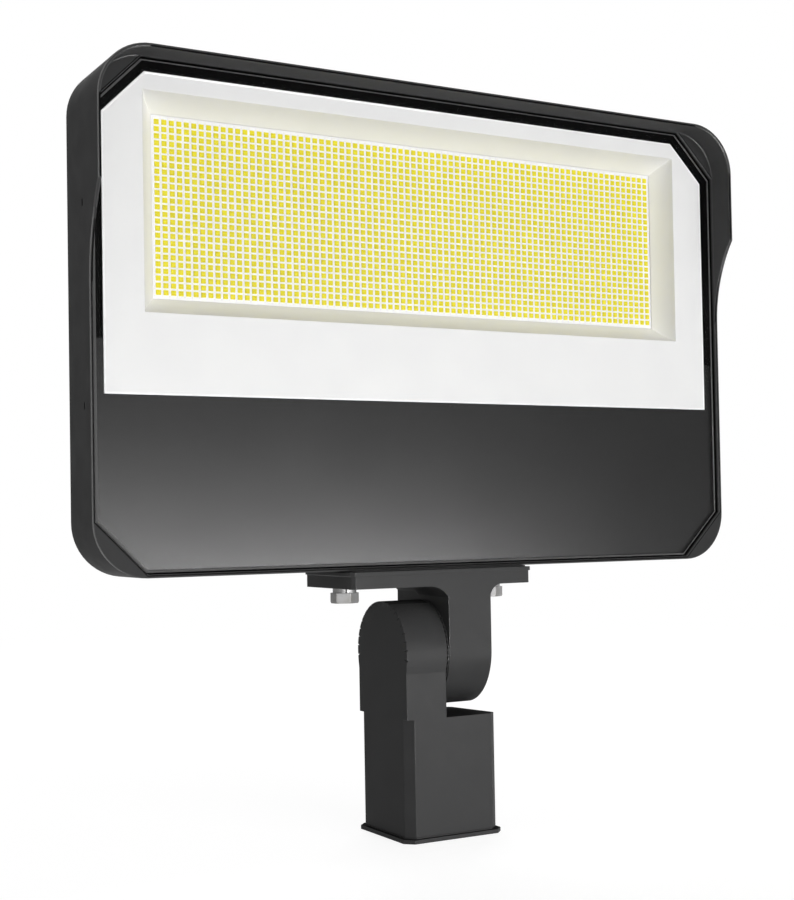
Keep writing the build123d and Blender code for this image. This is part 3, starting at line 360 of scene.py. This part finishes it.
def board_white():
    """White solder mask, with a faint lilac trace between the columns and a grey via where gaps cross."""
    s = Shader("board_white")
    low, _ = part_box("led_rows")
    pitch_x, pitch_z = led_pitches()

    def gap_distance(axis, start, pitch):
        """Metres from the middle of the nearest gap between chips."""
        offset = (start - (pitch - LED_STRIP) / 2) % pitch
        along = s.math("ADD", s.axis(axis), PITCHES_AHEAD * pitch - offset)
        return s.math("PINGPONG", along, pitch / 2)

    from_column = gap_distance("X", low.x, pitch_x)
    from_row = gap_distance("Z", low.z, pitch_z)
    mottle = s.noise(0.02, detail=3.0)
    colour = s.mix(mottle, grey(0.82), grey(0.88))
    trace = s.span(from_column, 0.0004, 0.0007, 0.25, 0.0)
    colour = s.mix(trace, colour, (0.70, 0.67, 0.86, 1.0))
    away = s.math("SQRT", s.math("ADD", s.math("POWER", from_column, 2.0), s.math("POWER", from_row, 2.0)))
    colour = s.mix(s.span(away, 0.00025, 0.00045, 0.35, 0.0), colour, grey(0.45))
    return s.surface(Base_Color=colour, Roughness=0.4, Specular_IOR_Level=0.3,
                     Normal=s.bump(s.noise(0.0008), 0.08, 0.00004))


def phosphor():
    """Yellow phosphor, each pad a shade of its own."""
    s = Shader("led_phosphor")
    cell = s.add("TexVoronoi", {"Vector": s.place, "Scale": 1.0 / 0.004}).outputs["Color"]
    shade = s.add("SeparateColor", {0: cell}).outputs[0]
    grain = s.noise(0.0004, detail=2.0)
    colour = s.mix(shade, (0.74, 0.64, 0.009, 1.0), (0.79, 0.70, 0.012, 1.0))
    colour = s.mix(s.span(grain, 0.4, 0.8, 0.0, 0.10), colour, (0.86, 0.80, 0.05, 1.0))
    return s.surface(Base_Color=colour, Roughness=0.55, Specular_IOR_Level=0.12,
                     Normal=s.bump(grain, 0.15, 0.00005))


def chip_frame():
    """The pale rim and cross round each chip's four pads."""
    s = Shader("chip_frame")
    grain = s.noise(0.0008, detail=2.0)
    colour = s.mix(grain, (0.80, 0.74, 0.07, 1.0), (0.84, 0.79, 0.12, 1.0))
    return s.surface(Base_Color=colour, Roughness=0.5, Specular_IOR_Level=0.15,
                     Normal=s.bump(grain, 0.1, 0.00004))


def clear_glass():
    """Coated low-glare glass, almost clear head on, with faint smears in its gloss.

    Its back lies on the baffle and the gasket, and takes no gloss of its own.
    """
    s = Shader("clear_glass")
    smear = s.noise(0.05, detail=3.0, stretch=(1.0, 1.0, 0.3))
    gloss = s.add("BsdfGlossy", {"Color": grey(1.0), "Roughness": s.span(smear, 0.35, 0.7, 0.245, 0.265),
                                 "Normal": s.true_normal})
    back = s.span(s.axis("Y", s.true_facing), 0.5, 0.6)
    tint = s.mix(smear, (0.985, 0.985, 0.985, 1.0), (0.975, 0.975, 0.975, 1.0))
    clear = s.add("BsdfTransparent", {"Color": s.mix(back, tint, grey(1.0))})
    rim = s.add("Fresnel", {"IOR": 1.07, "Normal": s.true_normal})
    front = s.math("MULTIPLY", rim.outputs[0], s.math("SUBTRACT", 1.0, back))
    pane = s.add("MixShader", {0: front, 1: clear.outputs[0], 2: gloss.outputs[0]})
    ground = s.add("BsdfPrincipled", {"Base Color": s.mix(smear, grey(0.17), grey(0.24)), "Roughness": 0.35})
    slope = s.math("ABSOLUTE", s.axis("Y", s.true_facing))
    cut_edge = s.span(slope, 0.95, 0.85, 0.0, 0.8)
    both = s.add("MixShader", {0: cut_edge, 1: pane.outputs[0], 2: ground.outputs[0]})
    return s.finish(both.outputs[0])


def black_sheet():
    """Satin black baffle behind the glass."""
    s = Shader("black_sheet")
    mottle = s.noise(0.06, detail=3.0)
    colour = s.mix(mottle, grey(0.004), grey(0.006))
    return s.surface(Base_Color=colour, Roughness=s.span(mottle, 0.3, 0.7, 0.32, 0.34),
                     Specular_IOR_Level=0.17, Normal=s.bump(s.noise(0.004), 0.02, 0.00005))


def brushed_case(name, level, metallic=0.9):
    """Folded sheet case with a brushed grain."""
    s = Shader(name)
    grain = s.noise(0.0007, detail=4.0, stretch=(0.04, 1.0, 1.0))
    colour = s.mix(grain, grey(level * 0.9), grey(level * 1.1))
    return s.surface(Base_Color=colour, Metallic=metallic, Roughness=s.span(grain, 0.3, 0.7, 0.32, 0.48),
                     Normal=s.bump(grain, 0.2, 0.00005, radius=0.0004))


def moulded(name, colour, roughness=0.5):
    """Moulded plastic or insulation with a fine sparkle."""
    s = Shader(name)
    mottle = s.noise(0.004, detail=4.0)
    dark = (colour[0] * 0.86, colour[1] * 0.86, colour[2] * 0.86, 1.0)
    light = (colour[0] * 1.1, colour[1] * 1.1, colour[2] * 1.1, 1.0)
    return s.surface(Base_Color=s.mix(mottle, dark, light), Specular_IOR_Level=0.35,
                     Roughness=s.span(mottle, 0.3, 0.7, roughness - 0.06, roughness + 0.06),
                     Normal=s.bump(s.noise(0.0004), 0.2, 0.00004, radius=0.0003))


def wear(material, *names):
    """Gives CAD nodes their finish."""
    for name in names:
        mesh = NODES[name].data
        mesh.materials.clear()
        mesh.materials.append(material)


def dress_cad_nodes():
    # Housing: strongest painted highlight on its edges, painted shade round the glass and a painted glint on
    # the front land.
    wear(powder_coat("housing_casting", 0.037, edge_radius=0.0022, edge_polish=1.0, shine=0.02, edge_highlight_tone=2.0,
                     recess_shaded=True), "housing")
    wear(powder_coat("cover_casting", 0.048), "rear_cover")
    wear(plated_steel(), "bracket_bolts", "bracket_spring_washers", "pivot_bolt", "pivot_flat_washer",
         "pivot_spring_washer", "tenon_set_screws")
    wear(stainless(), "rear_cover_screws", "board_screws")
    wear(rubber("silicone_rubber", 0.006), "bracket_gasket", "rear_cover_gasket", "lead_grommets")
    wear(clear_glass(), "lens_glass")
    wear(white_panel(), "reflector")
    wear(board_white(), "led_board")
    wear(rubber("thermal_pad", 0.18, roughness=0.7), "thermal_pad")
    wear(brushed_case("driver_case", 0.55), "led_drivers")
    wear(moulded("surge_case", (0.025, 0.025, 0.028)), "surge_protector")
    wear(moulded("connector_plastic", (0.75, 0.74, 0.68)), "terminal_block", "board_connectors")
    wear(moulded("lead_insulation", (0.02, 0.02, 0.022), roughness=0.42), "ac_leads", "dc_leads")
    wear(moulded("vent_plastic", (0.018, 0.018, 0.020), roughness=0.55), "breather_vent")


# Pieces
def placed(name, mesh, body):
    """An object made of mesh that rides on a body of the frame."""
    piece = bpy.data.objects.new(name, mesh)
    bpy.context.scene.collection.objects.link(piece)
    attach(piece, body)
    return piece


def new_piece(name, mesh_maker, materials, body):
    """A piece whose mesh mesh_maker builds."""
    work = bmesh.new()
    mesh_maker(work)
    mesh = bpy.data.meshes.new(name)
    work.to_mesh(mesh)
    work.free()
    for material in materials:
        mesh.materials.append(material)
    return placed(name, mesh, body)


def raised_square(work, centre_x, centre_z, half, top_half, back_y, front_y, material):
    """A square pad standing towards -Y, its top drawn in a little."""
    corners = ((-1, -1), (1, -1), (1, 1), (-1, 1))
    base = [work.verts.new((centre_x + x * half, back_y, centre_z + z * half)) for x, z in corners]
    top = [work.verts.new((centre_x + x * top_half, front_y, centre_z + z * top_half)) for x, z in corners]
    faces = [work.faces.new(top)]
    for number in range(4):
        after = (number + 1) % 4
        faces.append(work.faces.new((base[number], base[after], top[after], top[number])))
    for face in faces:
        face.material_index = material


def build_led_chips(work):
    low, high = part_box("led_rows")
    pitch_x, pitch_z = led_pitches()
    frame_y = low.y + CHIP_FRAME_DEPTH
    half = LED_CHIP / 2
    pad_half = (half - CHIP_PAD_INSET - CHIP_PAD_GROOVE / 2) / 2
    pad_offset = CHIP_PAD_GROOVE / 2 + pad_half
    for column in range(LED_COLUMNS):
        for row in range(LED_ROWS):
            x = low.x + LED_STRIP / 2 + column * pitch_x
            z = low.z + LED_STRIP / 2 + row * pitch_z
            raised_square(work, x, z, half, half - CHIP_PAD_DRAFT, high.y, frame_y, FRAME_MATERIAL)
            for side in (-1, 1):
                for level in (-1, 1):
                    raised_square(work, x + side * pad_offset, z + level * pad_offset, pad_half,
                                  pad_half - CHIP_PAD_DRAFT, frame_y, low.y, PAD_MATERIAL)


def make_led_chips():
    chips = new_piece("led_chips", build_led_chips, (phosphor(), chip_frame()), "head")
    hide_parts("led_rows")


def panel_corners():
    """Corners of the reflector panel in X and Z, read off its CAD node."""
    low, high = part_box("reflector")
    tops = [v.co.x for v in NODES["reflector"].data.vertices if high.z - v.co.z < SAME_PLACE]
    sides = [v.co.z for v in NODES["reflector"].data.vertices if high.x - v.co.x < SAME_PLACE]
    return [(low.x, low.z), (high.x, low.z), (high.x, max(sides)), (max(tops), high.z),
            (min(tops), high.z), (low.x, max(sides))]


def inset_corners(corners, inset):
    """A convex outline moved inwards, its corners kept mitred."""
    moved = []
    for number, corner in enumerate(corners):
        here = Vector(corner)
        before = (here - Vector(corners[number - 1])).normalized()
        after = (Vector(corners[(number + 1) % len(corners)]) - here).normalized()
        inward = Vector((-before.y, before.x)) + Vector((-after.y, after.x))
        moved.append(here + inward * (inset / (1.0 + before.dot(after))))
    return moved


def build_reflector_edge(work):
    """A half-round bead swept round the panel."""
    low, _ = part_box("reflector")
    corners = panel_corners()
    width = BEAD_WIDTH + BEAD_OVERLAP
    profile = [(-BEAD_OVERLAP, low.y + BEAD_WIDTH / 2)]
    for step in range(BEAD_STEPS + 1):
        turn = math.pi * step / BEAD_STEPS
        across = -BEAD_OVERLAP + width * (1 - math.cos(turn)) / 2
        profile.append((across, low.y + BEAD_OVERLAP - (BEAD_PROUD + BEAD_OVERLAP) * math.sin(turn)))
    rings = []
    for inset, y in profile:
        rings.append([work.verts.new((x, y, z)) for x, z in inset_corners(corners, inset)])
    for outer, inner in zip(rings, rings[1:]):
        for number in range(len(corners)):
            after = (number + 1) % len(corners)
            work.faces.new((outer[number], outer[after], inner[after], inner[number]))
    for face in work.faces:
        face.smooth = True


def make_reflector_edge():
    new_piece("reflector_edge", build_reflector_edge, (turned_edge_highlit_white(),), "head")


def reshaped(name, node, moved, material, body, top_material=None):
    """A casting drawn again from its node, with its points moved a little."""
    mesh = NODES[node].data.copy()
    mesh.name = name
    for point in mesh.vertices:
        point.co = moved(point.co.x, point.co.y, point.co.z)
    mesh.materials.clear()
    mesh.materials.append(material)
    if top_material:
        mesh.materials.append(top_material)
    for face in mesh.polygons:
        face.material_index = 1 if top_material and face.normal.z > TOP_FACING else 0
    piece = placed(name, mesh, body)
    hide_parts(node)


def clear_of_glass(x, y, z):
    """The front of what lies against the glass, a hair behind it, so that the two do not share a plane."""
    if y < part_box("lens_glass")[1].y + SAME_PLACE:
        y += GLASS_CLEARANCE
    return x, y, z


def make_lens_backing():
    reshaped("baffle_sheet", "baffle_plate", clear_of_glass, black_sheet(), "head")
    reshaped("lens_seal", "lens_gasket", clear_of_glass, rubber("lens_silicone", 0.0015, shine=0.02), "head")


def lower_leg_end(x, y, z):
    """The leg's round end reaches a little lower than a half circle."""
    if z < PIVOT_Z:
        z = PIVOT_Z - (PIVOT_Z - z) * LEG_END_STRETCH
    return x, y, z


def lower_lug_shoulder(x, y, z):
    """The lug swells further down, and the socket's top face drains towards the back."""
    lug_low = KNUCKLE_SHOULDER_Z - SAME_PLACE
    outside = abs(y) > SOCKET_HALF_DEPTH - SAME_PLACE
    if x < LUG_RIGHT_X + SAME_PLACE and outside and lug_low < z < PIVOT_Z:
        z = PIVOT_Z - (PIVOT_Z - z) * LUG_SHOULDER_STRETCH
    elif x > LUG_RIGHT_X and abs(z - SOCKET_TOP_Z) < SAME_PLACE:
        z -= SOCKET_TOP_DRAIN * (y + SOCKET_HALF_DEPTH)
    return x, y, z


def build_teeth(work, root_x, tip_x):
    """The rim of a toothed ring round the pivot, its teeth running from root_x to tip_x."""
    rings = []
    for step in range(2 * TOOTH_COUNT):
        turn = math.pi * step / TOOTH_COUNT
        x = tip_x if step % 2 else (root_x + tip_x) / 2
        side, rise = math.sin(turn), math.cos(turn)
        loop = ((root_x, TEETH_INNER_R), (root_x, TEETH_OUTER_R), (x, TEETH_OUTER_R), (x, TEETH_INNER_R))
        rings.append([work.verts.new((at, reach * side, PIVOT_Z + reach * rise)) for at, reach in loop])
    for number, ring in enumerate(rings):
        after = rings[(number + 1) % len(rings)]
        for corner in range(4):
            following = (corner + 1) % 4
            work.faces.new((ring[corner], ring[following], after[following], after[corner]))
    bmesh.ops.recalc_face_normals(work, faces=work.faces)


def make_knuckle():
    knuckle = powder_coat("knuckle_casting", 0.041)
    bracket = powder_coat("bracket_casting", 0.041, edge_polish=0.6)
    # The socket's upward faces: no gloss, and a darker colour that is painted shade.
    dull_shaded_top = powder_coat("knuckle_top_shaded", 0.03, roughness=0.7, shine=0.0)
    reshaped("slipfitter_casting", "slipfitter_body", lower_lug_shoulder, knuckle, "slipfitter",
             top_material=dull_shaded_top)
    reshaped("bracket_casting", "bracket", lower_leg_end, bracket, "head")
    leg_x = LUG_RIGHT_X + KNUCKLE_GAP
    new_piece("lug_teeth", lambda work: build_teeth(work, LUG_RIGHT_X, LUG_RIGHT_X + TOOTH_REACH), (knuckle,),
              "slipfitter")
    new_piece("leg_teeth", lambda work: build_teeth(work, leg_x, leg_x - TOOTH_REACH), (bracket,), "head")


# Studio
def seen_directly(shader):
    """1 for rays of the camera and those that gloss and glass send on."""
    path = shader.add("LightPath").outputs
    both = shader.math("MAXIMUM", path["Is Camera Ray"], path["Is Glossy Ray"])
    return shader.math("MAXIMUM", both, path["Is Transmission Ray"])


def floor_paper():
    """White paper that keeps a soft shadow and meets the background without a line."""
    s = Shader("floor_paper")
    lit = s.add("BsdfDiffuse", {"Color": grey(FLOOR_COLOUR)})
    shown = s.add("BsdfDiffuse", {"Color": grey(FLOOR_SHOWN_COLOUR)})
    glow = s.add("Emission", {"Color": grey(1.0), "Strength": FLOOR_SHOWN_GLOW})
    pale = s.add("AddShader", {0: shown.outputs[0], 1: glow.outputs[0]})
    white = s.add("Emission", {"Color": grey(1.0), "Strength": 1.0})
    away = s.add("VectorMath", {0: s.place}, operation="LENGTH").outputs["Value"]
    far = s.span(away, FLOOR_FADE_NEAR, FLOOR_FADE_FAR, soft=True)
    sweep = s.add("MixShader", {0: far, 1: pale.outputs[0], 2: white.outputs[0]})
    both = s.add("MixShader", {0: seen_directly(s), 1: lit.outputs[0], 2: sweep.outputs[0]})
    return s.finish(both.outputs[0])


def make_floor():
    work = bmesh.new()
    bmesh.ops.create_grid(work, x_segments=1, y_segments=1, size=FLOOR_HALF)
    mesh = bpy.data.meshes.new("floor")
    work.to_mesh(mesh)
    work.free()
    mesh.materials.append(floor_paper())
    floor = bpy.data.objects.new("floor", mesh)
    bpy.context.scene.collection.objects.link(floor)


def make_sky():
    world = bpy.data.worlds.new("studio")
    world.use_nodes = True
    tree = world.node_tree
    tree.nodes.clear()
    path = tree.nodes.new("ShaderNodeLightPath")
    first = tree.nodes.new("ShaderNodeMath")
    first.operation = "MAXIMUM"
    tree.links.new(path.outputs["Is Camera Ray"], first.inputs[0])
    tree.links.new(path.outputs["Is Glossy Ray"], first.inputs[1])
    second = tree.nodes.new("ShaderNodeMath")
    second.operation = "MAXIMUM"
    tree.links.new(first.outputs[0], second.inputs[0])
    tree.links.new(path.outputs["Is Transmission Ray"], second.inputs[1])
    level = tree.nodes.new("ShaderNodeMapRange")
    tree.links.new(second.outputs[0], level.inputs["Value"])
    level.inputs["To Min"].default_value = SKY_LEVEL
    level.inputs["To Max"].default_value = 1.0
    background = tree.nodes.new("ShaderNodeBackground")
    background.inputs["Color"].default_value = grey(1.0)
    tree.links.new(level.outputs[0], background.inputs["Strength"])
    out = tree.nodes.new("ShaderNodeOutputWorld")
    tree.links.new(background.outputs[0], out.inputs["Surface"])
    bpy.context.scene.world = world


def soft_lamp(name, place, aim, width, height, power):
    """A rectangular softbox at place that faces aim."""
    lamp = bpy.data.lights.new(name, "AREA")
    lamp.shape = "RECTANGLE"
    lamp.size = width
    lamp.size_y = height
    lamp.energy = power
    holder = bpy.data.objects.new(name, lamp)
    holder.location = place
    holder.rotation_euler = (Vector(aim) - Vector(place)).to_track_quat("-Z", "Y").to_euler()
    holder.visible_camera = False
    bpy.context.scene.collection.objects.link(holder)
    return holder


def make_lamps():
    key = soft_lamp("key", (0.7, -3.2, 0.75), HEAD_MIDDLE, 2.4, 1.4, 49.0)
    key.visible_glossy = False
    low_fill = soft_lamp("low_fill", (-0.1, -1.5, 0.08), HEAD_MIDDLE, 1.6, 0.15, 7.5)
    low_fill.visible_glossy = False
    soft_lamp("back", (1.6, 3.0, 1.8), HEAD_MIDDLE, 2.4, 2.0, 75.0)
    streak = soft_lamp("glass_streak", (0.1, -0.85, 0.045), (0.1, 0.0, 0.2), 1.0, 0.1, 34.0)
    streak.visible_diffuse = False
    glint = soft_lamp("edge_glint", (-1.9, 0.32, 0.35), HEAD_MIDDLE, 0.5, 1.2, 10.0)
    glint.visible_diffuse = False


def make_camera():
    data = bpy.data.cameras.new("photo_camera")
    data.lens = CAMERA_LENS_MM
    data.sensor_width = CAMERA_SENSOR_MM
    data.shift_x, data.shift_y = CAMERA_SHIFT
    data.clip_start = CAMERA_NEAR
    camera = bpy.data.objects.new("photo_camera", data)
    turn = Matrix((CAMERA_RIGHT, CAMERA_UP, CAMERA_BACK)).transposed()
    camera.matrix_world = Matrix.Translation(CAMERA_PLACE) @ turn.to_4x4()
    bpy.context.scene.collection.objects.link(camera)
    bpy.context.scene.camera = camera


make_camera()
make_floor()
make_sky()
make_lamps()
dress_cad_nodes()
make_led_chips()
make_reflector_edge()
make_lens_backing()
make_knuckle()
bpy.context.scene.view_settings.view_transform = "Standard"
